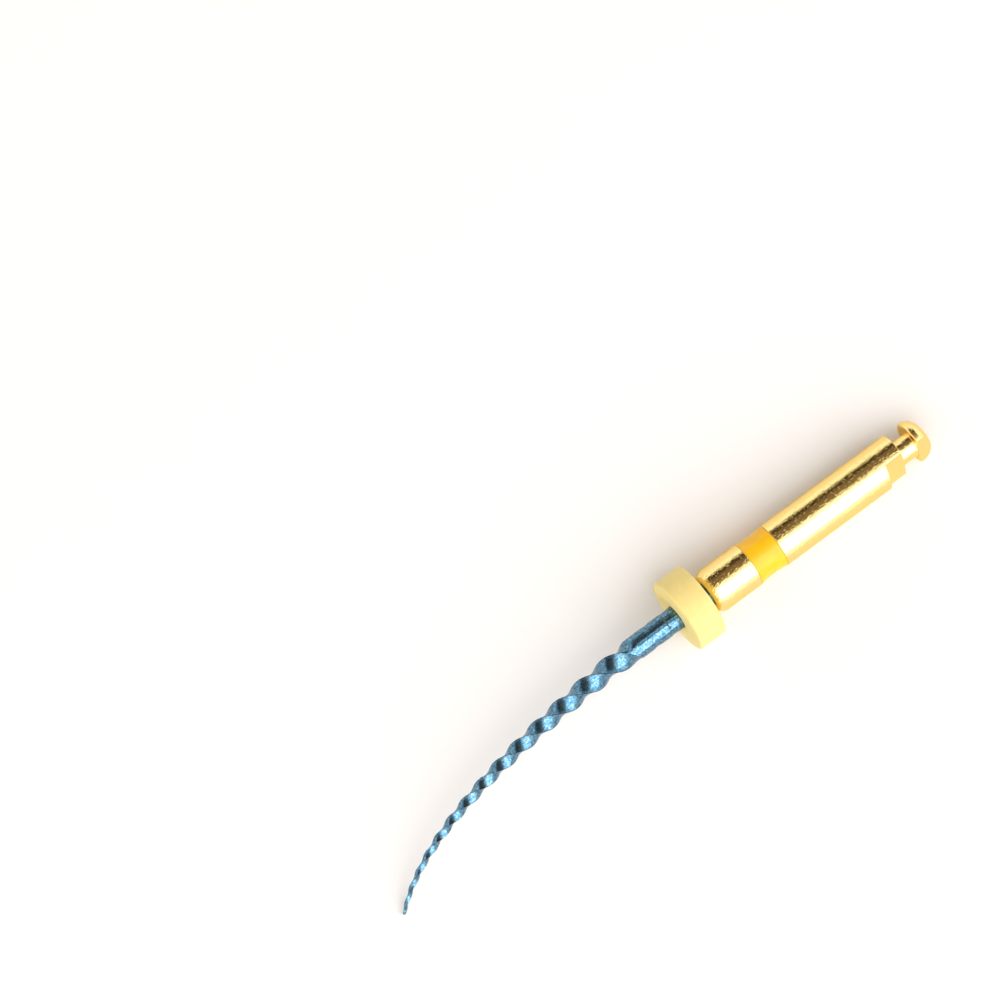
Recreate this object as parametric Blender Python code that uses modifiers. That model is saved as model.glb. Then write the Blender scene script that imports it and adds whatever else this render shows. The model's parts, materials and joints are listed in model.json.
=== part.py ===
"""Rotary endodontic file with a latch handle, lying on a flat surface.

Every piece is modelled on the file's own axis: local +Z runs from the tip towards the latch and is zero
at the front face of the handle, and the working part bends towards local +X.  A station is a distance
from the front face of the handle towards the tip, measured along the centreline, so it is negative in
the handle.  The empty "resting_pose" lays the whole file on the plane z = 0, on the rim of the silicone
stop, the rim of the latch button and the tip, with the latch towards +X.
"""
import math

import bmesh
import bpy
from mathutils import Matrix, Vector

MM = 0.001
RUNNING_GAP = 0.02 * MM           # between pieces that are assembled into each other
OVERCUT = 1.0 * MM                # how far a cutter runs past the stock that it cuts
MERGE = 1e-7                      # welds the points of a turned shape that meet on its axis

# Handle: one turned, gold-plated brass body that ends in a latch
HANDLE_RADIUS = 1.175 * MM        # the 2.35 mm shank that latch contra-angles take
NOSE_TAPER = 0.41 * MM            # front face to the end of the nose's cone
NOSE_ROUND = 0.18 * MM            # front face to the start of the cone
NOSE_RADIUS = 1.075 * MM          # where the cone meets the rounding
NOSE_FACE_RADIUS = 0.90 * MM
BARREL_LENGTH = 2.52 * MM         # front face to the colour band
SHOULDER = 11.73 * MM             # front face to the end of the full diameter
NECK_LENGTH = 0.91 * MM
NECK_RADIUS = 0.63 * MM
BUTTON_LENGTH = 0.85 * MM
BUTTON_ROUND = 0.18 * MM          # rounding of the button's corner beside the neck
BUTTON_RIM = 0.25 * MM            # from the neck's end to the start of the dome
EDGE_CHAMFER = 0.05 * MM
BORE_DEPTH = 6.0 * MM

# Drive flat: milled along the latch, through shoulder, neck and button
FLAT_OFFSET = 0.60 * MM           # from the axis, so 1.775 mm is left across the shank
FLAT_START = 10.71 * MM           # from the front face of the handle
FLAT_WALL_LEAN = 0.30             # how far the end wall leans towards the nose, per unit of height
FLAT_ANGLE = math.radians(-64.6)  # about the axis, from the side the blade bends to

# Colour band: a waisted ring of enamel in a groove of the handle
BAND_LENGTH = 1.60 * MM
BAND_END_RADIUS = 1.165 * MM
BAND_WAIST_RADIUS = 1.095 * MM
BAND_GROOVE_RADIUS = 0.93 * MM

# File: one nickel-titanium wire, with a round shaft and a ground, fluted, bent blade
FILE_LENGTH = 21.85 * MM          # front face of the handle to the tip
TANG_LENGTH = 5.8 * MM            # the end that is held in the handle's bore
SHAFT_RADIUS = 0.62 * MM
MARK_STATIONS = (2.34 * MM, 3.40 * MM)
MARK_WIDTH = 0.46 * MM
MARK_DEPTH = 0.03 * MM
FLUTE_START = 4.3 * MM
FLUTE_RUNOUT = 1.1 * MM           # length over which the flutes reach their full depth
TIP_DIAMETER = 0.20 * MM          # size 20, which the yellow band stands for
TAPER = 0.06                      # diameter gained per unit of length, up to the shaft
TIP_ROUND = 0.16 * MM
CORE_RATIO = 0.64                 # middle of a flute face, as a part of the cutting edge's radius
FACE_CURVATURE = 2.73             # radius of a flute face's arc, as a multiple of the edge's radius
FLUTES = 3
EDGE_ANGLE = math.radians(-91.2)  # of one cutting edge where the flutes start
FLUTE_STEP_SHAFT = 1.72 * MM      # length in which the edges turn by one flute, at the shaft
FLUTE_STEP_TIP = 0.78 * MM        # the same at the tip
BEND_START = 3.0 * MM
BEND_EVEN = math.radians(18.0)    # turn of the centreline that grows evenly from there to the tip
BEND_TIP = math.radians(33.9)     # further turn, gathered near the tip
BEND_TIP_POWER = 5

# Silicone stop and the index mark that is inlaid in it
STOP_RADIUS = 1.96 * MM
STOP_THICKNESS = 1.53 * MM
STOP_GAP = 0.285 * MM             # between the handle's front face and the stop
STOP_EDGE = 0.13 * MM
STOP_CLEARANCE = 0.03 * MM
INDEX_WIDTH = 0.50 * MM
INDEX_DEPTH = 0.55 * MM
INDEX_ANGLE = math.radians(57.7)

# Fineness of the solids
TURN_STEPS = 48
SECTION_STEP = 0.13 * MM
FACE_POINTS = 6                   # points of a blade section per flute

NECK_START = SHOULDER
BUTTON_START = SHOULDER + NECK_LENGTH
LATCH_END = BUTTON_START + BUTTON_LENGTH
BAND_START = BARREL_LENGTH
BLADE_LENGTH = FILE_LENGTH - FLUTE_START
FACE_ANGLE = 2 * math.pi / FLUTES


def material(name, colour, roughness, metallic=0.0):
    """A plain Principled finish."""
    finish = bpy.data.materials.new(name)
    finish.use_nodes = True
    shader = finish.node_tree.nodes["Principled BSDF"]
    shader.inputs["Base Color"].default_value = (*colour, 1.0)
    shader.inputs["Roughness"].default_value = roughness
    shader.inputs["Metallic"].default_value = metallic
    return finish


def arc(centre, radius, start, end, steps):
    """Points (radius, height) of an arc in the profile plane, angles in degrees from the outward side."""
    angles = [math.radians(start + (end - start) * i / steps) for i in range(steps + 1)]
    return [(centre[0] + radius * math.cos(a), centre[1] + radius * math.sin(a)) for a in angles]


def eased(start, corner, end, steps):
    """Points (radius, height) of a curve that leaves start and reaches end in line with the corner."""
    points = []
    for i in range(steps + 1):
        t = i / steps
        weights = ((1 - t) ** 2, 2 * t * (1 - t), t * t)
        points.append(tuple(sum(w * c for w, c in zip(weights, p)) for p in zip(start, corner, end)))
    return points


def turned(name, profile, closed, finish, collection, parent):
    """A solid of revolution about local Z; the profile runs down its outer side."""
    points = [(radius, 0.0, height) for radius, height in profile]
    edges = [(i, i + 1) for i in range(len(points) - 1)]
    if closed:
        edges.append((len(points) - 1, 0))
    mesh = bpy.data.meshes.new(name)
    mesh.from_pydata(points, edges, [])
    piece = add_object(name, mesh, finish, collection, parent)
    screw = piece.modifiers.new("turn", "SCREW")
    screw.axis = "Z"
    screw.steps = TURN_STEPS
    screw.render_steps = TURN_STEPS
    screw.use_merge_vertices = True
    screw.merge_threshold = MERGE
    screw.use_smooth_shade = True
    return piece


def add_object(name, mesh, finish, collection, parent):
    piece = bpy.data.objects.new(name, mesh)
    if finish:
        mesh.materials.append(finish)
    collection.objects.link(piece)
    piece.parent = parent
    return piece


def block(name, low, high, lean, turn, collection, parent):
    """A cutter box between two corners; its end walls lean by lean per unit of local X above low."""
    mesh = bpy.data.meshes.new(name)
    cube = bmesh.new()
    bmesh.ops.create_cube(cube, size=1.0)
    centre = (Vector(low) + Vector(high)) / 2
    size = Vector(high) - Vector(low)
    for vert in cube.verts:
        vert.co = Vector(c * s for c, s in zip(vert.co, size)) + centre
        vert.co.z -= lean * (vert.co.x - low[0])
    cube.to_mesh(mesh)
    cube.free()
    cutter = add_object(name, mesh, None, collection, parent)
    cutter.rotation_euler.z = turn
    cutter.hide_render = True
    cutter.display_type = "WIRE"
    return cutter


def boolean(piece, operation, cutter):
    cut = piece.modifiers.new(cutter.name, "BOOLEAN")
    cut.operation = operation
    cut.object = cutter
    cut.solver = "EXACT"


def handle(parts, cutters, pose):
    """Button, neck, shank, band groove, barrel and nose, with the blind bore for the tang."""
    dome = [
        (HANDLE_RADIUS * math.cos(a), BUTTON_START + BUTTON_RIM + (BUTTON_LENGTH - BUTTON_RIM) * math.sin(a))
        for a in (math.radians(90 - 10 * i) for i in range(10))
    ]
    dome[0] = (0.0, LATCH_END)
    bore = SHAFT_RADIUS + RUNNING_GAP
    cone = (HANDLE_RADIUS - NOSE_RADIUS) / (NOSE_TAPER - NOSE_ROUND)
    corner = (HANDLE_RADIUS - BUTTON_ROUND, BUTTON_START + BUTTON_ROUND)
    profile = dome + arc(corner, BUTTON_ROUND, 0, -90, 4) + [
        (NECK_RADIUS, BUTTON_START),
        (NECK_RADIUS, NECK_START),
        (HANDLE_RADIUS - EDGE_CHAMFER, SHOULDER),
        (HANDLE_RADIUS, SHOULDER - EDGE_CHAMFER),
        (HANDLE_RADIUS, BAND_START + BAND_LENGTH),
        (BAND_GROOVE_RADIUS, BAND_START + BAND_LENGTH),
        (BAND_GROOVE_RADIUS, BAND_START),
        (HANDLE_RADIUS, BAND_START),
        (HANDLE_RADIUS, NOSE_TAPER),
    ]
    profile += eased(
        (NOSE_RADIUS, NOSE_ROUND), (NOSE_RADIUS - cone * NOSE_ROUND, 0.0), (NOSE_FACE_RADIUS, 0.0), 4
    )
    profile += [(bore, 0.0), (bore, BORE_DEPTH), (0.0, BORE_DEPTH)]
    gold = material("gold_plated_brass", (0.83, 0.58, 0.22), 0.18, 1.0)
    body = turned("handle", profile, False, gold, parts, pose)
    flat = block(
        "drive_flat_cutter",
        (FLAT_OFFSET, -HANDLE_RADIUS - OVERCUT, FLAT_START),
        (HANDLE_RADIUS + OVERCUT, HANDLE_RADIUS + OVERCUT, LATCH_END + 2 * OVERCUT),
        FLAT_WALL_LEAN,
        FLAT_ANGLE,
        cutters,
        pose,
    )
    boolean(body, "DIFFERENCE", flat)


def color_band(parts, pose):
    """The enamel ring; its outer side is one hollow arc from edge to edge."""
    half = BAND_LENGTH / 2 - RUNNING_GAP / 2
    middle = BAND_START + BAND_LENGTH / 2
    hollow = BAND_END_RADIUS - BAND_WAIST_RADIUS
    outer = [
        (BAND_WAIST_RADIUS + hollow * step * step, middle + half * step)
        for step in (1 - i / 4 for i in range(9))
    ]
    inner = BAND_GROOVE_RADIUS + RUNNING_GAP
    profile = outer + [(inner, middle - half), (inner, middle + half)]
    enamel = material("band_yellow", (0.98, 0.62, 0.02), 0.25)
    turned("color_band", profile, True, enamel, parts, pose)


def silicone_stop(parts, cutters, pose):
    """The stop with its slot, and the dark mark that fills the slot."""
    near = -STOP_GAP
    far = near - STOP_THICKNESS
    rim = STOP_RADIUS - STOP_EDGE
    bore = SHAFT_RADIUS + STOP_CLEARANCE
    profile = [(bore, near)]
    profile += arc((rim, near - STOP_EDGE), STOP_EDGE, 90, 0, 4)
    profile += arc((rim, far + STOP_EDGE), STOP_EDGE, 0, -90, 4)
    profile += [(bore, far)]
    pale = material("silicone_pale_yellow", (0.97, 0.85, 0.32), 0.6)
    dark = material("silicone_black", (0.02, 0.02, 0.02), 0.6)
    for name, finish, operation, gap in (
        ("silicone_stop", pale, "DIFFERENCE", 0.0),
        ("stop_index_mark", dark, "INTERSECT", RUNNING_GAP / 2),
    ):
        piece = turned(name, profile, True, finish, parts, pose)
        half = INDEX_WIDTH / 2 - gap
        slot = block(
            name + "_slot_cutter",
            (STOP_RADIUS - INDEX_DEPTH + gap, -half, far - OVERCUT),
            (STOP_RADIUS + OVERCUT, half, near + OVERCUT),
            0.0,
            INDEX_ANGLE,
            cutters,
            pose,
        )
        boolean(piece, operation, slot)


def bend_angle(station):
    """How far the centreline has turned from the handle's axis."""
    along = max(station - BEND_START, 0.0) / (FILE_LENGTH - BEND_START)
    return BEND_EVEN * along + BEND_TIP * along**BEND_TIP_POWER


def edge_angle(station):
    """Angle of the first cutting edge about the centreline; a right-handed helix that tightens."""
    along = max(station - FLUTE_START, 0.0)
    change = (FLUTE_STEP_TIP - FLUTE_STEP_SHAFT) / BLADE_LENGTH
    turns = math.log(1 + change * along / FLUTE_STEP_SHAFT) / change
    return EDGE_ANGLE - FACE_ANGLE * turns


def edge_radius(station):
    """Radius of the round shaft, and of the cutting edges along the blade."""
    from_tip = FILE_LENGTH - station
    radius = min((TIP_DIAMETER + TAPER * from_tip) / 2, SHAFT_RADIUS)
    for mark in MARK_STATIONS:
        across = (station - mark) / (MARK_WIDTH / 2)
        radius -= MARK_DEPTH * max(1 - across * across, 0.0)
    if from_tip < TIP_ROUND:
        radius *= math.sqrt(max(1 - (1 - from_tip / TIP_ROUND) ** 2, 0.0))
    return radius


def flute_depth(station):
    """Depth of the flutes as a part of their full depth; it starts steeply, as a wheel leaves it."""
    left = min(max(1 - (station - FLUTE_START) / FLUTE_RUNOUT, 0.0), 1.0)
    return 1 - left * left


def section_radius(station, angle):
    """Radius of the section at an angle from the middle of a flute face."""
    edge = edge_radius(station)
    cut = flute_depth(station)
    if cut == 0.0:
        return edge
    middle = edge * (1 - (1 - CORE_RATIO) * cut)
    curve = edge * FACE_CURVATURE
    centre = curve - middle
    face = math.sqrt(curve**2 - (centre * math.sin(angle)) ** 2) - centre * math.cos(angle)
    return min(edge, face)


def centreline(stations):
    """Points of the centreline in the local XZ plane, one for each station."""
    place = Vector((0.0, 0.0, -stations[0]))
    points = [place.copy()]
    for start, end in zip(stations, stations[1:]):
        turn = bend_angle((start + end) / 2)
        place += (end - start) * Vector((math.sin(turn), 0.0, -math.cos(turn)))
        points.append(place.copy())
    return points


def file_stations():
    """Where the file's sections lie: its ends and grooves closely, the blade evenly."""
    stations = [-TANG_LENGTH, -TANG_LENGTH + EDGE_CHAMFER, 0.0]
    for mark in MARK_STATIONS:
        stations += [mark + MARK_WIDTH / 2 * step / 3 for step in range(-3, 4)]
    steps = round((BLADE_LENGTH - TIP_ROUND) / SECTION_STEP)
    stations += [FLUTE_START + (BLADE_LENGTH - TIP_ROUND) * i / steps for i in range(steps + 1)]
    stations += [FILE_LENGTH - TIP_ROUND * math.cos(math.radians(a)) ** 2 for a in (30, 50, 70)]
    return stations


def endodontic_file(parts, pose):
    """Tang, shaft and blade, lofted through their sections and closed at both ends."""
    stations = file_stations()
    shape = bmesh.new()
    around = FACE_POINTS * FLUTES
    rings = []
    for station, place in zip(stations, centreline(stations)):
        turn = bend_angle(station)
        side = Vector((math.cos(turn), 0.0, math.sin(turn)))
        ring = []
        for i in range(around):
            angle = FACE_ANGLE * (i / FACE_POINTS)
            off_face = (angle + FACE_ANGLE / 2) % FACE_ANGLE - FACE_ANGLE / 2
            radius = section_radius(station, off_face)
            if station == stations[0]:
                radius -= EDGE_CHAMFER
            direction = edge_angle(station) + FACE_ANGLE / 2 + angle
            offset = radius * (math.cos(direction) * side + math.sin(direction) * Vector((0, 1, 0)))
            ring.append(shape.verts.new(place + offset))
        rings.append(ring)
    for upper, lower in zip(rings, rings[1:]):
        for i in range(around):
            j = (i + 1) % around
            shape.faces.new((upper[i], lower[i], lower[j], upper[j]))
    shape.faces.new(rings[0])
    turn = bend_angle(FILE_LENGTH)
    last = FILE_LENGTH - stations[-1]
    tip = shape.verts.new(centreline(stations)[-1] + last * Vector((math.sin(turn), 0, -math.cos(turn))))
    for i in range(around):
        shape.faces.new((rings[-1][i], tip, rings[-1][(i + 1) % around]))
    mesh = bpy.data.meshes.new("file_blade")
    shape.to_mesh(mesh)
    shape.free()
    mesh.shade_smooth()
    mesh.set_sharp_from_angle(angle=math.radians(35))
    blue = material("heat_treated_nickel_titanium", (0.10, 0.32, 0.52), 0.3, 1.0)
    add_object("file_blade", mesh, blue, parts, pose)


def lie_down(pose):
    """Turn the file so that the stop's rim, the button's rim and the tip all touch the plane."""
    stop_contact = STOP_GAP + STOP_EDGE
    rear = BUTTON_START + BUTTON_ROUND
    pitch = math.atan2(STOP_RADIUS - HANDLE_RADIUS, stop_contact + rear)
    nose_height = (STOP_RADIUS - STOP_EDGE) * math.cos(pitch) + STOP_EDGE - stop_contact * math.sin(pitch)
    tip = centreline(file_stations())[-1]
    tip_drop = nose_height - tip.z * math.sin(pitch) - TIP_DIAMETER / 2
    roll = math.asin(tip_drop / (tip.x * math.cos(pitch)))
    to_latch = Vector((math.cos(pitch), 0.0, -math.sin(pitch)))
    down = Vector((-math.sin(pitch), 0.0, -math.cos(pitch)))
    bend = math.cos(roll) * Vector((0.0, -1.0, 0.0)) + math.sin(roll) * down
    third = to_latch.cross(bend)
    pose.matrix_world = Matrix((bend, third, to_latch)).transposed().to_4x4()


def put_on_origin(parts, pose):
    """Move the file so that the middle of its underside is the origin."""
    bpy.context.view_layer.update()
    graph = bpy.context.evaluated_depsgraph_get()
    points = []
    for piece in parts.objects:
        if piece.type == "MESH":
            ready = piece.evaluated_get(graph)
            points += [ready.matrix_world @ vert.co for vert in ready.data.vertices]
    low = Vector(min(p[i] for p in points) for i in range(3))
    high = Vector(max(p[i] for p in points) for i in range(3))
    pose.location = (-(low.x + high.x) / 2, -(low.y + high.y) / 2, -low.z)
    bpy.context.view_layer.update()


def main():
    for old in list(bpy.data.objects):
        bpy.data.objects.remove(old, do_unlink=True)
    parts = bpy.data.collections.new("endodontic_file")
    cutters = bpy.data.collections.new("cutters")
    for collection in (parts, cutters):
        bpy.context.scene.collection.children.link(collection)
    pose = bpy.data.objects.new("resting_pose", None)
    parts.objects.link(pose)
    handle(parts, cutters, pose)
    color_band(parts, pose)
    endodontic_file(parts, pose)
    silicone_stop(parts, cutters, pose)
    lie_down(pose)
    put_on_origin(parts, pose)


main()
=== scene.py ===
"""Looks of a rotary endodontic file: fine meshes, materials, floor, light and camera around the CAD frame.

Every piece is rebuilt on the file's own axis, as the CAD source does: local +Z runs from the tip towards
the latch and is zero at the front face of the handle, and the working part bends towards local +X.
A station is a distance from the front face of the handle towards the tip, measured along the centreline.
"""
import json
import math

import bmesh
import bpy
from mathutils import Matrix, Vector


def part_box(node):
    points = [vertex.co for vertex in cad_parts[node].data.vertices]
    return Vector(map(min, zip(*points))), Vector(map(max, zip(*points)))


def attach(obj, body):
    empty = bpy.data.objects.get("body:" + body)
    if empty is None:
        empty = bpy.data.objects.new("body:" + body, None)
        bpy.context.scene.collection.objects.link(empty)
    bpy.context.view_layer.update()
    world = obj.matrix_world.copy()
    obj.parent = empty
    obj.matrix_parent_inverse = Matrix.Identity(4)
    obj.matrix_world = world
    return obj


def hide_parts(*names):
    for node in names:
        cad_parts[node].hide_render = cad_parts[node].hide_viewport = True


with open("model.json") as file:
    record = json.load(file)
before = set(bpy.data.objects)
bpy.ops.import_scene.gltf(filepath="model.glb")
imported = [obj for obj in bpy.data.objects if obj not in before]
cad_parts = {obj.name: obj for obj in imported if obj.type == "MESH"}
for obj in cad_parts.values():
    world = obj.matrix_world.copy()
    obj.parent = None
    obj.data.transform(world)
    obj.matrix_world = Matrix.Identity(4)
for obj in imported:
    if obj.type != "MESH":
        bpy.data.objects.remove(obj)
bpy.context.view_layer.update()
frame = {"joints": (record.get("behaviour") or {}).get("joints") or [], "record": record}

MM = 0.001
RUNNING_GAP = 0.02 * MM
MERGE = 1e-7

# Handle
HANDLE_RADIUS = 1.175 * MM
NOSE_TAPER = 0.41 * MM            # front face to the end of the nose's cone
NOSE_ROUND = 0.18 * MM            # front face to the start of the cone
NOSE_RADIUS = 1.075 * MM          # where the cone meets the rounding
NOSE_FACE_RADIUS = 0.90 * MM
BAND_START = 2.52 * MM
SHOULDER = 11.73 * MM
NECK_LENGTH = 0.91 * MM
NECK_RADIUS = 0.63 * MM
BUTTON_LENGTH = 0.85 * MM
BUTTON_ROUND = 0.18 * MM          # rounding of the button's corner beside the neck
BUTTON_RIM = 0.25 * MM            # from the neck's end to the start of the dome
BORE_DEPTH = 6.0 * MM
EDGE_ROUND = 0.05 * MM
GROOVE_EDGE = 0.035 * MM
FACE_DRAFT = 0.02 * MM            # how far the faces beside the neck lean

# Drive flat
FLAT_OFFSET = 0.60 * MM
FLAT_START = 10.71 * MM
FLAT_WALL_LEAN = 0.30
FLAT_ANGLE = math.radians(-64.6)
FLAT_EDGE = 0.03 * MM             # rounding of the flat's long edges
FLAT_ROOT = 0.06 * MM             # rounding between the flat and its end wall

# Colour band
BAND_LENGTH = 1.60 * MM
BAND_END_RADIUS = 1.165 * MM
BAND_WAIST_RADIUS = 1.095 * MM
BAND_GROOVE_RADIUS = 0.93 * MM
BAND_EDGE = 0.02 * MM

# File
FILE_LENGTH = 21.85 * MM
TANG_LENGTH = 5.8 * MM
TANG_EDGE = 0.05 * MM
SHAFT_RADIUS = 0.62 * MM
MARK_STATIONS = (2.34 * MM, 3.40 * MM)
MARK_WIDTH = 0.46 * MM
MARK_DEPTH = 0.03 * MM
FLUTE_START = 4.3 * MM
FLUTE_RUNOUT = 1.1 * MM
TIP_DIAMETER = 0.20 * MM
TAPER = 0.06
TIP_ROUND = 0.16 * MM
CORE_RATIO = 0.64
FACE_CURVATURE = 2.73
FLUTES = 3
EDGE_ANGLE = math.radians(-91.2)
FLUTE_STEP_SHAFT = 1.72 * MM
FLUTE_STEP_TIP = 0.78 * MM
BEND_START = 3.0 * MM
BEND_EVEN = math.radians(18.0)
BEND_TIP = math.radians(33.9)
BEND_TIP_POWER = 5

# Silicone stop and its index mark
STOP_RADIUS = 1.96 * MM
STOP_THICKNESS = 1.53 * MM
STOP_GAP = 0.285 * MM
STOP_EDGE = 0.13 * MM
STOP_CLEARANCE = 0.03 * MM
INDEX_WIDTH = 0.50 * MM
INDEX_DEPTH = 0.55 * MM
INDEX_ANGLE = math.radians(57.7)

# Fineness of the visible meshes
ARC_POINTS = 216
ROUND_STEPS = 5
WALL_RINGS = 28                   # down the end wall of the drive flat
NOSE_STEPS = 10
DOME_STEPS = 12                   # from the dome's middle to the drive flat
DOME_EDGE_STEPS = 24              # along the drive flat's outline on the dome
BAND_STEPS = 24                   # from the band's waist to its edge
STOP_STEPS = 8
MARK_STEPS = 8                    # from a depth mark's middle to its edge
PLAIN_STATIONS = (1.2 * MM, 2.0 * MM)
FACE_POINTS = 16                  # across one ground face
LAND_POINTS = 8                   # across what is left of the round between two faces
SECTION_STEP = 0.035 * MM
TIP_ANGLES = range(8, 85, 8)      # degrees round the tip

# Camera
CAMERA_AZIMUTH = -37.0            # degrees, 0 looks along +Y
CAMERA_ELEVATION = 79.58
CAMERA_DISTANCE = 0.240
CAMERA_AIM = (-0.001524, 0.010372, 0.002765)
CAMERA_LENS = 178.0               # mm
CAMERA_SENSOR = 36.0              # mm

# Surroundings
ROOM = (1.40, 1.39, 1.37)         # radiance of the room
OPENING_NEAR = 2.0                # degrees from overhead towards +Y
OPENING_FAR = 66.0
OPENING_SIDE = 0.68               # sine of its reach to both sides
OPENING_SOFT = 0.04               # half the width of its soft ends, on the same scale
OPENING_COLOURS = (               # part of the way from near to far, and the colour there
    (0.0, ROOM), (0.04, (0.02, 0.015, 0.01)), (0.09, (0.02, 0.015, 0.01)),
    (0.14, (0.26, 0.19, 0.14)), (0.50, (0.20, 0.15, 0.11)), (0.66, (0.06, 0.045, 0.035)),
    (0.94, (0.05, 0.04, 0.03)), (1.0, ROOM),
)
FLOOR_COLOUR = (0.86, 0.83, 0.81)
FLOOR_HALF = 2.0

# Window lamp, and a second one just behind it that only reflections show
WINDOW_AZIMUTH = 4                # degrees, 0 lies on the side of -Y
WINDOW_ELEVATION = 46.5
WINDOW_SIZE = (0.50, 0.35)
WINDOW_DISTANCE = 0.30
WINDOW_RADIANCE = 1.2
GLARE_DISTANCE = 0.302
GLARE_RADIANCE = 1.4

BUTTON_START = SHOULDER + NECK_LENGTH
BAND_END = BAND_START + BAND_LENGTH
BLADE_LENGTH = FILE_LENGTH - FLUTE_START
FACE_ANGLE = 2 * math.pi / FLUTES


def resting_pose():
    """The file's own axes in the frame: from the slide axis, the drive flat and the colour band."""
    to_latch = -Vector(frame["joints"][0]["axis"]).normalized()
    flat = Vector(frame["record"]["mounts"][0]["axis"])
    flat = (flat - flat.dot(to_latch) * to_latch).normalized()
    bend_side = Matrix.Rotation(-FLAT_ANGLE, 3, to_latch) @ flat
    third = to_latch.cross(bend_side)
    low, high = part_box("color_band")
    pose = Matrix((bend_side, third, to_latch)).transposed().to_4x4()
    pose.translation = (low + high) / 2 - to_latch * (BAND_START + BAND_LENGTH / 2)
    return pose


POSE = resting_pose()


# ---------------------------------------------------------------- mesh tools

def on_curve(start, corner, end, t):
    """The point at t, from 0 to 1, of a curve that leaves start and reaches end in line with the corner."""
    return (1 - t) ** 2 * start + 2 * t * (1 - t) * corner + t * t * end


def eased(start, corner, end, steps):
    """Points along that curve, with both its ends."""
    start, corner, end = Vector(start), Vector(corner), Vector(end)
    return [on_curve(start, corner, end, i / steps) for i in range(steps + 1)]


def rounded(corners, steps=ROUND_STEPS):
    """A profile through corners (radius, height, rounding); each rounding is a short curve."""
    points = []
    for i, (radius, height, soft) in enumerate(corners):
        corner = Vector((radius, height))
        if soft == 0:
            points.append(corner)
            continue
        before = Vector(corners[i - 1][:2])
        after = Vector(corners[i + 1][:2])
        start = corner + (before - corner).normalized() * soft
        end = corner + (after - corner).normalized() * soft
        points += eased(start, corner, end, steps)
    return [tuple(point) for point in points]


def skin(name, rings, closed=False, caps=False, ridges=()):
    """A mesh over rings of equally many points; what a ring folds together is welded.

    Each point among the ridges, given as (ring, place in the ring), gets 1 in the attribute "ridge"."""
    shape = bmesh.new()
    ridge = shape.verts.layers.float.new("ridge")
    loops = [[shape.verts.new(point) for point in ring] for ring in rings]
    for ring, i in ridges:
        loops[ring][i][ridge] = 1.0
    pairs = list(zip(loops, loops[1:]))
    if closed:
        pairs.append((loops[-1], loops[0]))
    for upper, lower in pairs:
        for i in range(len(upper)):
            j = (i + 1) % len(upper)
            shape.faces.new((upper[i], lower[i], lower[j], upper[j]))
    if caps:
        shape.faces.new(loops[0])
        shape.faces.new(reversed(loops[-1]))
    bmesh.ops.remove_doubles(shape, verts=shape.verts, dist=MERGE)
    mesh = bpy.data.meshes.new(name)
    shape.to_mesh(mesh)
    shape.free()
    return mesh


def lathe_rings(profile, count=ARC_POINTS):
    """Rings of a solid of revolution about local Z, from points (radius, height)."""
    angles = [2 * math.pi * i / count for i in range(count)]
    return [[(r * math.cos(a), r * math.sin(a), z) for a in angles] for r, z in profile]


def place(name, mesh, finish, sharp, body, node):
    """Stand a finished mesh in for a CAD node; its edges steeper than sharp, in degrees, stay crisp."""
    mesh.transform(POSE)
    mesh.shade_smooth()
    mesh.set_sharp_from_angle(angle=math.radians(sharp))
    mesh.materials.append(finish)
    piece = bpy.data.objects.new(name, mesh)
    bpy.context.scene.collection.objects.link(piece)
    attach(piece, body)
    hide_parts(node)
    return piece


def crisp(piece):
    """Large faces keep their own normals, and only the roundings between them turn."""
    weighted = piece.modifiers.new("crisp_faces", "WEIGHTED_NORMAL")
    weighted.mode = "FACE_AREA"
    weighted.keep_sharp = True


# ---------------------------------------------------------------- materials

def set_stops(ramp, stops):
    """Give a colour ramp its stops (position, colour)."""
    while len(ramp.elements) < len(stops):
        ramp.elements.new(1.0)
    for element, (position, colour) in zip(ramp.elements, stops):
        element.position = position
        element.color = (*colour, 1.0)


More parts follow.
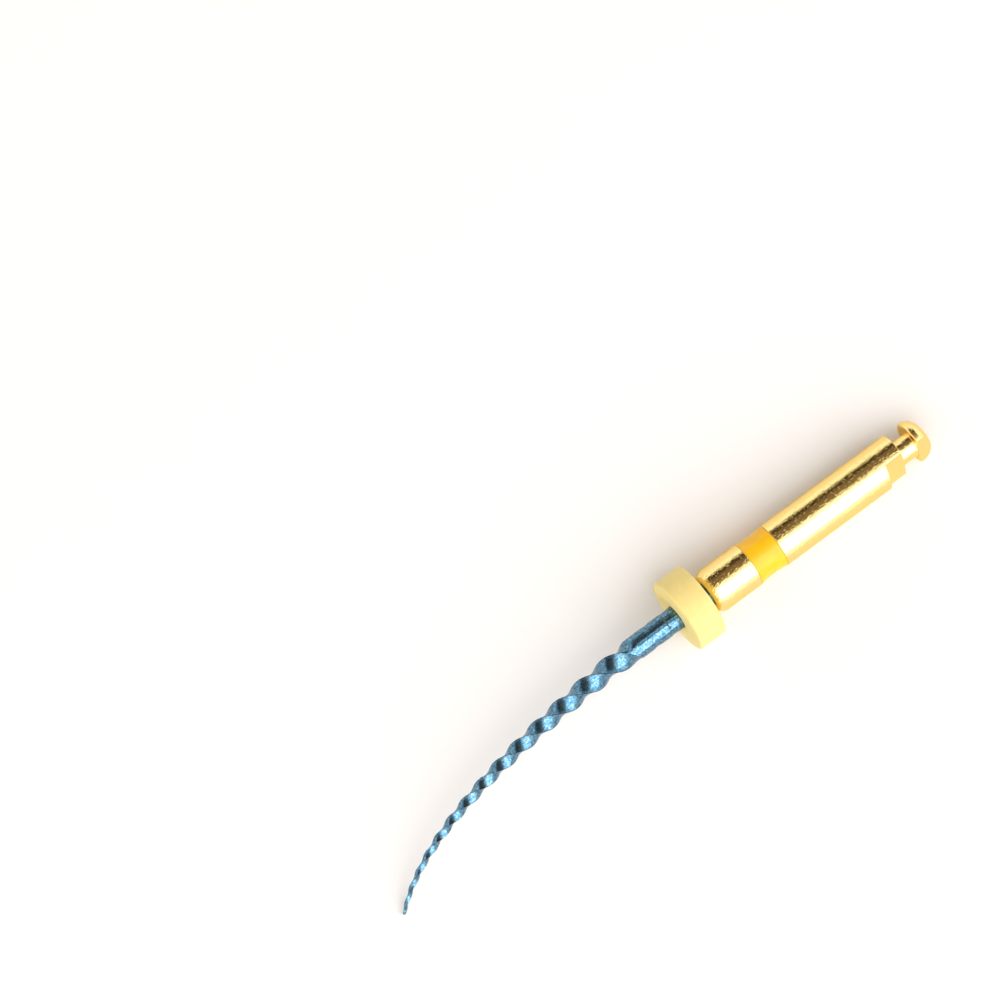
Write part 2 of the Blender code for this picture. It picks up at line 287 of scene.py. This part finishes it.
class Finish:
    """A node material whose coordinates are millimetres on the file's own axes."""

    def __init__(self, name, **values):
        self.material = bpy.data.materials.new(name)
        self.material.use_nodes = True
        self.tree = self.material.node_tree
        self.shader = self.tree.nodes["Principled BSDF"]
        for socket, value in values.items():
            self.shader.inputs[socket.replace("_", " ")].default_value = value
        to_axis = POSE.inverted()
        spot = self.add("ShaderNodeTexCoord")
        axes = self.add("ShaderNodeMapping", vector_type="POINT")
        axes.inputs["Scale"].default_value = (1 / MM, 1 / MM, 1 / MM)
        axes.inputs["Rotation"].default_value = to_axis.to_euler()
        axes.inputs["Location"].default_value = to_axis.translation / MM
        self.link(spot.outputs["Object"], axes.inputs["Vector"])
        self.mm = axes.outputs["Vector"]

    def add(self, kind, **settings):
        node = self.tree.nodes.new(kind)
        for name, value in settings.items():
            setattr(node, name, value)
        return node

    def link(self, source, target):
        self.tree.links.new(source, target)

    def stretched(self, scale):
        """The coordinates, squeezed along each axis."""
        node = self.add("ShaderNodeMapping", vector_type="POINT")
        node.inputs["Scale"].default_value = scale
        self.link(self.mm, node.inputs["Vector"])
        return node.outputs["Vector"]

    def noise(self, scale, detail=2.0, roughness=0.5, where=None):
        node = self.add("ShaderNodeTexNoise")
        node.inputs["Scale"].default_value = scale
        node.inputs["Detail"].default_value = detail
        node.inputs["Roughness"].default_value = roughness
        self.link(where or self.mm, node.inputs["Vector"])
        return node.outputs["Fac"]

    def remap(self, value, low, high, to_low, to_high):
        node = self.add("ShaderNodeMapRange", clamp=True)
        for socket, number in zip(("From Min", "From Max", "To Min", "To Max"), (low, high, to_low, to_high)):
            node.inputs[socket].default_value = number
        self.link(value, node.inputs["Value"])
        return node.outputs["Result"]

    def ramp(self, value, *stops):
        """Colour by value, from stops (position, colour)."""
        node = self.add("ShaderNodeValToRGB")
        set_stops(node.color_ramp, stops)
        self.link(value, node.inputs["Fac"])
        return node.outputs["Color"]

    def bump(self, height, depth, below=None):
        """A relief whose height is depth (in mm) for a value of 1."""
        node = self.add("ShaderNodeBump")
        node.inputs["Strength"].default_value = 1.0
        node.inputs["Distance"].default_value = depth * MM
        self.link(height, node.inputs["Height"])
        if below:
            self.link(below, node.inputs["Normal"])
        return node.outputs["Normal"]

    def drive(self, socket, source):
        self.link(source, self.shader.inputs[socket])


def gold_finish():
    """Gold plate over tumbled brass: glossy, with a very fine peened grain."""
    gold = Finish("gold_plating", Base_Color=(0.93, 0.69, 0.27, 1), Metallic=1.0)
    gold.shader.inputs["Specular Tint"].default_value = (1.0, 0.85, 0.5, 1)
    swell = gold.noise(1.6, detail=1.0)
    drawn = gold.stretched((14.0, 14.0, 6.0))
    grain = gold.noise(1.0, detail=2.0, roughness=0.6, where=drawn)
    flecks = gold.remap(gold.noise(10.0, detail=2.0), 0.58, 0.72, 0.0, 1.0)
    normal = gold.bump(grain, 0.008, gold.bump(swell, 0.006))
    gold.drive("Normal", gold.bump(flecks, 0.006, normal))
    gold.drive("Roughness", gold.remap(gold.noise(6.0), 0.3, 0.7, 0.10, 0.20))
    return gold.material


def enamel_finish():
    """Glossy yellow enamel."""
    enamel = Finish("yellow_enamel", Roughness=0.4, IOR=1.35, Coat_Weight=0.25, Coat_Roughness=0.08)
    cloud = enamel.noise(1.8, detail=3.0)
    enamel.drive("Base Color", enamel.ramp(cloud, (0.3, (0.90, 0.46, 0.004)), (0.7, (0.93, 0.51, 0.007))))
    enamel.drive("Normal", enamel.bump(enamel.noise(2.5, detail=2.0), 0.006))
    return enamel.material


def niti_finish():
    """Nickel-titanium with a heat-grown blue oxide, and a painted dark reflection along the ridges between
    the ground faces.
    """
    niti = Finish("blue_niti", Metallic=1.0)
    mottle = niti.noise(9.0, detail=5.0, roughness=0.65)
    oxide = niti.ramp(
        mottle,
        (0.32, (0.025, 0.085, 0.17)),
        (0.50, (0.09, 0.21, 0.31)),
        (0.68, (0.25, 0.39, 0.46)),
    )
    # Painted dark reflection: the oxide colour turns near-black towards the ridge points of the ground blade.
    ridge = niti.add("ShaderNodeAttribute", attribute_name="ridge")
    ridge_painted_reflection = niti.add("ShaderNodeMix", data_type="RGBA")
    niti.link(niti.remap(ridge.outputs["Fac"], 0.3, 1.0, 0.0, 0.85), ridge_painted_reflection.inputs["Factor"])
    niti.link(oxide, ridge_painted_reflection.inputs["A"])
    ridge_painted_reflection.inputs["B"].default_value = (0.008, 0.025, 0.05, 1)
    niti.drive("Base Color", ridge_painted_reflection.outputs["Result"])
    niti.drive("Roughness", niti.remap(mottle, 0.3, 0.7, 0.34, 0.20))
    niti.drive("Normal", niti.bump(niti.noise(14.0, detail=3.0, roughness=0.6), 0.006))
    return niti.material


def silicone_finish(name, dark, light):
    """Matte moulded silicone with a powdery skin."""
    silicone = Finish(name, Roughness=0.62, Specular_IOR_Level=0.3, Subsurface_Weight=0.25)
    silicone.shader.inputs["Subsurface Radius"].default_value = (1.0, 0.7, 0.25)
    silicone.shader.inputs["Subsurface Scale"].default_value = 0.4 * MM
    cloud = silicone.noise(1.4, detail=4.0, roughness=0.6)
    silicone.drive("Base Color", silicone.ramp(cloud, (0.3, dark), (0.7, light)))
    normal = silicone.bump(silicone.noise(1.1, detail=2.0), 0.02)
    silicone.drive("Normal", silicone.bump(silicone.noise(22.0, detail=2.0), 0.002, normal))
    return silicone.material


# ---------------------------------------------------------------- handle

def clipped_circle(radius, limit):
    """Points (x, y) of a circle without its part beyond x = limit; both corners are rounded."""
    half = math.acos(limit / radius) if limit < radius else 0.0
    chord = radius * math.sin(half)
    edge = radius * math.cos(half)
    soft = min(FLAT_EDGE, 0.3 * chord)
    start = half + (soft / radius if radius else 0.0)
    points = []
    for i in range(ARC_POINTS + 1):
        angle = start + (2 * math.pi - 2 * start) * i / ARC_POINTS
        points.append(Vector((radius * math.cos(angle), radius * math.sin(angle))))
    lower = Vector((edge, -chord))
    upper = Vector((edge, chord))
    for first, corner, last in (
        (points[-1].copy(), lower, lower + Vector((0, soft))),
        (upper - Vector((0, soft)), upper, points[0].copy()),
    ):
        for step in range(1, ROUND_STEPS + 1):
            t = step / ROUND_STEPS
            if corner is upper:
                t = (step - 1) / ROUND_STEPS
            points.append(on_curve(first, corner, last, t))
    return points


def flat_wall():
    """Rings (radius, height, limit) down the flat's rounded root and its leaning end wall."""
    corner = Vector((FLAT_START, FLAT_OFFSET))
    up_wall = Vector((-FLAT_WALL_LEAN, 1.0)).normalized()
    first = corner + Vector((FLAT_ROOT, 0.0))
    last = corner + up_wall * FLAT_ROOT
    rings = []
    for step in range(ROUND_STEPS):
        height, limit = on_curve(first, corner, last, step / ROUND_STEPS)
        rings.append((HANDLE_RADIUS, height, limit))
    widest = math.acos(last.y / HANDLE_RADIUS)
    for step in range(WALL_RINGS + 1):
        limit = HANDLE_RADIUS * math.cos(widest * (1 - step / WALL_RINGS))
        height = FLAT_START - FLAT_WALL_LEAN * (limit - FLAT_OFFSET)
        rings.append((HANDLE_RADIUS, height, limit))
    return rings


def button_dome():
    """Points (radius, height) of the dome; they close in where the flat's outline ends on it."""
    widest = math.acos(FLAT_OFFSET / HANDLE_RADIUS)
    radii = [FLAT_OFFSET * i / DOME_STEPS for i in range(DOME_STEPS)]
    radii += [FLAT_OFFSET / math.cos(widest * i / DOME_EDGE_STEPS) for i in range(DOME_EDGE_STEPS + 1)]
    rise = BUTTON_LENGTH - BUTTON_RIM
    base = BUTTON_START + BUTTON_RIM
    return [(r, base + rise * math.sqrt(max(1 - (r / HANDLE_RADIUS) ** 2, 0.0))) for r in radii]


def handle():
    """Button, neck, shank, band groove, barrel and nose, with the blind bore for the tang."""
    latch = rounded([
        (HANDLE_RADIUS, BUTTON_START + BUTTON_RIM, 0.0),
        (HANDLE_RADIUS, BUTTON_START, BUTTON_ROUND),
        (NECK_RADIUS, BUTTON_START + FACE_DRAFT, EDGE_ROUND),
        (NECK_RADIUS, SHOULDER + FACE_DRAFT, EDGE_ROUND),
        (HANDLE_RADIUS, SHOULDER, EDGE_ROUND),
        (HANDLE_RADIUS, FLAT_START + FLAT_ROOT, 0.0),
    ])
    bore = SHAFT_RADIUS + RUNNING_GAP
    cone = (HANDLE_RADIUS - NOSE_RADIUS) / (NOSE_TAPER - NOSE_ROUND)
    nose = eased(
        (NOSE_RADIUS, NOSE_ROUND), (NOSE_RADIUS - cone * NOSE_ROUND, 0.0), (NOSE_FACE_RADIUS, 0.0), NOSE_STEPS
    )
    front = rounded([
        (HANDLE_RADIUS, FLAT_START - FLAT_WALL_LEAN * HANDLE_RADIUS, 0.0),
        (HANDLE_RADIUS, BAND_END, GROOVE_EDGE),
        (BAND_GROOVE_RADIUS, BAND_END, 0.0),
        (BAND_GROOVE_RADIUS, BAND_START, 0.0),
        (HANDLE_RADIUS, BAND_START, GROOVE_EDGE),
        (HANDLE_RADIUS, NOSE_TAPER, EDGE_ROUND),
        *[(radius, height, 0.0) for radius, height in nose],
        (bore, 0.0, EDGE_ROUND),
        (bore, BORE_DEPTH, 0.0),
        (0.0, BORE_DEPTH, 0.0),
    ])
    sections = [(r, z, FLAT_OFFSET) for r, z in button_dome()[:-1] + latch[:-1]]
    sections += flat_wall()
    sections += [(r, z, HANDLE_RADIUS) for r, z in front]
    turn = Matrix.Rotation(FLAT_ANGLE, 2)
    rings = []
    for radius, height, limit in sections:
        outline = [turn @ point for point in clipped_circle(radius, limit)]
        rings.append([(point.x, point.y, height) for point in outline])
    mesh = skin("gold_handle", rings)
    crisp(place("gold_handle", mesh, gold_finish(), 30, "instrument", "handle"))


def color_band():
    """The enamel ring; its outer side is one hollow arc from edge to edge."""
    half = BAND_LENGTH / 2 - RUNNING_GAP / 2
    middle = BAND_START + BAND_LENGTH / 2
    hollow = BAND_END_RADIUS - BAND_WAIST_RADIUS
    inner = BAND_GROOVE_RADIUS + RUNNING_GAP
    arc = [1 - i / BAND_STEPS for i in range(1, 2 * BAND_STEPS)]
    outer = [(BAND_WAIST_RADIUS + hollow * step * step, middle + half * step, 0.0) for step in arc]
    corners = [(inner, middle + half, 0.0), (BAND_END_RADIUS, middle + half, BAND_EDGE)]
    corners += outer
    corners += [(BAND_END_RADIUS, middle - half, BAND_EDGE), (inner, middle - half, 0.0)]
    mesh = skin("enamel_band", lathe_rings(rounded(corners)), closed=True)
    place("enamel_band", mesh, enamel_finish(), 50, "instrument", "color_band")


# ---------------------------------------------------------------- file

def bend_angle(station):
    """How far the centreline has turned from the handle's axis."""
    along = max(station - BEND_START, 0.0) / (FILE_LENGTH - BEND_START)
    return BEND_EVEN * along + BEND_TIP * along**BEND_TIP_POWER


def edge_angle(station):
    """Angle of the first cutting edge about the centreline; a right-handed helix that tightens."""
    along = max(station - FLUTE_START, 0.0)
    change = (FLUTE_STEP_TIP - FLUTE_STEP_SHAFT) / BLADE_LENGTH
    turns = math.log(1 + change * along / FLUTE_STEP_SHAFT) / change
    return EDGE_ANGLE - FACE_ANGLE * turns


def edge_radius(station):
    """Radius of the round shaft, and of the cutting edges along the blade."""
    from_tip = FILE_LENGTH - station
    radius = min((TIP_DIAMETER + TAPER * from_tip) / 2, SHAFT_RADIUS)
    for mark in MARK_STATIONS:
        across = (station - mark) / (MARK_WIDTH / 2)
        radius -= MARK_DEPTH * max(1 - across * across, 0.0)
    if from_tip < TIP_ROUND:
        radius *= math.sqrt(max(1 - (1 - from_tip / TIP_ROUND) ** 2, 0.0))
    return radius


def flute_depth(station):
    """Depth of the flutes as a part of their full depth; it starts steeply, as a wheel leaves it."""
    left = min(max(1 - (station - FLUTE_START) / FLUTE_RUNOUT, 0.0), 1.0)
    return 1 - left * left


def section(station):
    """Points (angle, radius) round a section: ground faces, and between them what is left of the round."""
    edge = edge_radius(station)
    cut = flute_depth(station)
    centre = FACE_CURVATURE - 1 + (1 - CORE_RATIO) * cut
    reach = math.acos(min((FACE_CURVATURE**2 - 1 - centre**2) / (2 * centre), 1.0))
    reach = min(reach, FACE_ANGLE / 2)
    points = []
    for flute in range(FLUTES):
        middle = edge_angle(station) + FACE_ANGLE * (flute + 0.5)
        for i in range(FACE_POINTS):
            off = reach * (2 * i / FACE_POINTS - 1)
            face = math.sqrt(FACE_CURVATURE**2 - (centre * math.sin(off)) ** 2) - centre * math.cos(off)
            points.append((middle + off, edge * min(face, 1.0)))
        for i in range(LAND_POINTS):
            off = reach + (FACE_ANGLE - 2 * reach) * i / LAND_POINTS
            points.append((middle + off, edge))
    return points


def file_stations():
    """Where the file's sections lie: its ends and grooves closely, the blade evenly."""
    stations = [-TANG_LENGTH, -TANG_LENGTH + TANG_EDGE, -TANG_LENGTH / 2, 0.0, STOP_GAP, *PLAIN_STATIONS]
    marking = range(-MARK_STEPS, MARK_STEPS + 1)
    for mark in MARK_STATIONS:
        stations += [mark + MARK_WIDTH / 2 * step / MARK_STEPS for step in marking]
    steps = round((BLADE_LENGTH - TIP_ROUND) / SECTION_STEP)
    stations += [FLUTE_START + (BLADE_LENGTH - TIP_ROUND) * i / steps for i in range(steps + 1)]
    stations += [FILE_LENGTH - TIP_ROUND * math.cos(math.radians(a)) ** 2 for a in TIP_ANGLES]
    return stations + [FILE_LENGTH]


def file_blade():
    """Tang, shaft and blade, lofted through their sections."""
    rings = []
    middle = Vector((0.0, 0.0, TANG_LENGTH))
    before = None
    stations = file_stations()
    for station in stations:
        if before is not None:
            turn = bend_angle((before + station) / 2)
            middle = middle + (station - before) * Vector((math.sin(turn), 0.0, -math.cos(turn)))
        before = station
        turn = bend_angle(station)
        side = Vector((math.cos(turn), 0.0, math.sin(turn)))
        across = Vector((0.0, 1.0, 0.0))
        ring = []
        for angle, radius in section(station):
            if station == -TANG_LENGTH:
                radius -= TANG_EDGE
            ring.append(middle + radius * (math.cos(angle) * side + math.sin(angle) * across))
        rings.append(ring)
    around = FACE_POINTS + LAND_POINTS
    # The ridge points mark where the blue finish paints a dark reflection along the cutting edges and lands.
    ground = [ring for ring, station in enumerate(stations) if station > FLUTE_START + FLUTE_RUNOUT]
    edge = [0, *range(FACE_POINTS, around)]
    ridges = [(ring, flute * around + i) for ring in ground for flute in range(FLUTES) for i in edge]
    mesh = skin("fluted_file", rings, caps=True, ridges=ridges)
    place("fluted_file", mesh, niti_finish(), 12, "instrument", "file_blade")


# ---------------------------------------------------------------- stop

def stop_blank(name):
    """The whole stop, before its slot is cut."""
    near = -STOP_GAP
    far = near - STOP_THICKNESS
    bore = SHAFT_RADIUS + STOP_CLEARANCE
    profile = rounded([
        (bore, far, 0.0),
        (bore, near, 0.0),
        (STOP_RADIUS, near, STOP_EDGE),
        (STOP_RADIUS, far, STOP_EDGE),
        (bore, far, 0.0),
    ], STOP_STEPS)
    return skin(name, lathe_rings(profile[:-1]), closed=True)


def slot_cutter(gap):
    """A block that holds the index mark's part of the stop."""
    near = -STOP_GAP + STOP_EDGE
    far = -STOP_GAP - STOP_THICKNESS - STOP_EDGE
    half = INDEX_WIDTH / 2 - gap
    low = Vector((STOP_RADIUS - INDEX_DEPTH + gap, -half, far))
    high = Vector((STOP_RADIUS + STOP_EDGE, half, near))
    mesh = bpy.data.meshes.new("slot")
    cube = bmesh.new()
    bmesh.ops.create_cube(cube, size=1.0)
    for vert in cube.verts:
        vert.co = Vector(c * s for c, s in zip(vert.co, high - low)) + (low + high) / 2
    cube.to_mesh(mesh)
    cube.free()
    cutter = bpy.data.objects.new("slot", mesh)
    cutter.matrix_world = Matrix.Rotation(INDEX_ANGLE, 4, "Z")
    bpy.context.scene.collection.objects.link(cutter)
    return cutter


def cut(mesh, operation, gap):
    """The mesh after one Boolean with the slot."""
    stock = bpy.data.objects.new("stock", mesh)
    bpy.context.scene.collection.objects.link(stock)
    cutter = slot_cutter(gap)
    boolean = stock.modifiers.new("slot", "BOOLEAN")
    boolean.operation = operation
    boolean.object = cutter
    boolean.solver = "EXACT"
    graph = bpy.context.evaluated_depsgraph_get()
    result = bpy.data.meshes.new_from_object(stock.evaluated_get(graph))
    bpy.data.objects.remove(stock)
    bpy.data.objects.remove(cutter)
    return result


def silicone_stop():
    """The stop with its slot, and the dark mark that fills the slot."""
    pale = silicone_finish("pale_silicone", (0.79, 0.625, 0.23), (0.85, 0.68, 0.26))
    black = silicone_finish("black_silicone", (0.012, 0.012, 0.014), (0.03, 0.03, 0.033))
    ring = cut(stop_blank("silicone_disc"), "DIFFERENCE", 0.0)
    crisp(place("silicone_disc", ring, pale, 30, "stop", "silicone_stop"))
    mark = cut(stop_blank("index_inlay"), "INTERSECT", RUNNING_GAP / 2)
    crisp(place("index_inlay", mark, black, 30, "stop", "stop_index_mark"))


# ---------------------------------------------------------------- surroundings

def direction(azimuth, elevation):
    """From the object towards a place; azimuth 0 lies on the side of -Y, as for the camera."""
    a = math.radians(azimuth)
    e = math.radians(elevation)
    return Vector((math.sin(a) * math.cos(e), -math.cos(a) * math.cos(e), math.sin(e)))


def softbox(name, azimuth, elevation, distance, width, height, radiance, diffuse=True):
    """A rectangular lamp that faces the object and isn't in the picture itself."""
    lamp = bpy.data.lights.new(name, "AREA")
    lamp.shape = "RECTANGLE"
    lamp.size = width
    lamp.size_y = height
    lamp.energy = radiance * math.pi * width * height
    box = bpy.data.objects.new(name, lamp)
    away = direction(azimuth, elevation)
    box.location = away * distance
    box.rotation_euler = away.to_track_quat("Z", "Y").to_euler()
    box.visible_camera = False
    box.visible_diffuse = diffuse
    bpy.context.scene.collection.objects.link(box)


def surroundings():
    """A bright room, with one dark opening overhead on the far side of the handle."""
    world = bpy.data.worlds.new("studio")
    bpy.context.scene.world = world
    world.use_nodes = True
    tree = world.node_tree

    def node(kind, **settings):
        made = tree.nodes.new(kind)
        for name, value in settings.items():
            setattr(made, name, value)
        return made

    parts = node("ShaderNodeSeparateXYZ")
    tree.links.new(node("ShaderNodeTexCoord").outputs["Generated"], parts.inputs[0])
    lean = node("ShaderNodeMath", operation="ARCTAN2")
    tree.links.new(parts.outputs["Y"], lean.inputs[0])
    tree.links.new(parts.outputs["Z"], lean.inputs[1])
    across = node("ShaderNodeMapRange", clamp=True)
    across.inputs["From Min"].default_value = math.radians(OPENING_NEAR)
    across.inputs["From Max"].default_value = math.radians(OPENING_FAR)
    tree.links.new(lean.outputs[0], across.inputs["Value"])
    ramp = node("ShaderNodeValToRGB")
    set_stops(ramp.color_ramp, OPENING_COLOURS)
    tree.links.new(across.outputs["Result"], ramp.inputs["Fac"])
    aside = node("ShaderNodeMath", operation="ABSOLUTE")
    tree.links.new(parts.outputs["X"], aside.inputs[0])
    edge = node("ShaderNodeMapRange", clamp=True)
    edge.inputs["From Min"].default_value = OPENING_SIDE - OPENING_SOFT
    edge.inputs["From Max"].default_value = OPENING_SIDE + OPENING_SOFT
    tree.links.new(aside.outputs[0], edge.inputs["Value"])
    blend = node("ShaderNodeMix", data_type="RGBA")
    tree.links.new(edge.outputs["Result"], blend.inputs["Factor"])
    tree.links.new(ramp.outputs["Color"], blend.inputs["A"])
    blend.inputs["B"].default_value = (*ROOM, 1.0)
    tree.links.new(blend.outputs["Result"], tree.nodes["Background"].inputs["Color"])


def floor():
    """A plain white sheet."""
    mesh = bpy.data.meshes.new("floor")
    half = FLOOR_HALF
    corners = [(-half, -half, 0), (half, -half, 0), (half, half, 0), (-half, half, 0)]
    mesh.from_pydata(corners, [], [(0, 1, 2, 3)])
    paper = bpy.data.materials.new("white_paper")
    paper.use_nodes = True
    shader = paper.node_tree.nodes["Principled BSDF"]
    shader.inputs["Base Color"].default_value = (*FLOOR_COLOUR, 1)
    shader.inputs["Roughness"].default_value = 0.9
    shader.inputs["Specular IOR Level"].default_value = 0.1
    mesh.materials.append(paper)
    sheet = bpy.data.objects.new("floor", mesh)
    bpy.context.scene.collection.objects.link(sheet)


def camera():
    """The view from high above, with no shift and everything in focus."""
    lens = bpy.data.cameras.new("camera")
    lens.lens = CAMERA_LENS
    lens.sensor_width = CAMERA_SENSOR
    lens.clip_start = 0.01
    lens.clip_end = 20.0
    eye = bpy.data.objects.new("camera", lens)
    away = direction(CAMERA_AZIMUTH, CAMERA_ELEVATION)
    eye.location = Vector(CAMERA_AIM) + away * CAMERA_DISTANCE
    eye.rotation_euler = away.to_track_quat("Z", "Y").to_euler()
    bpy.context.scene.collection.objects.link(eye)
    bpy.context.scene.camera = eye


bpy.context.scene.view_settings.view_transform = "Standard"
camera()
floor()
surroundings()
window = (WINDOW_AZIMUTH, WINDOW_ELEVATION)
softbox("window", *window, WINDOW_DISTANCE, *WINDOW_SIZE, WINDOW_RADIANCE)
softbox("window_glare", *window, GLARE_DISTANCE, *WINDOW_SIZE, GLARE_RADIANCE, diffuse=False)
handle()
color_band()
file_blade()
silicone_stop()
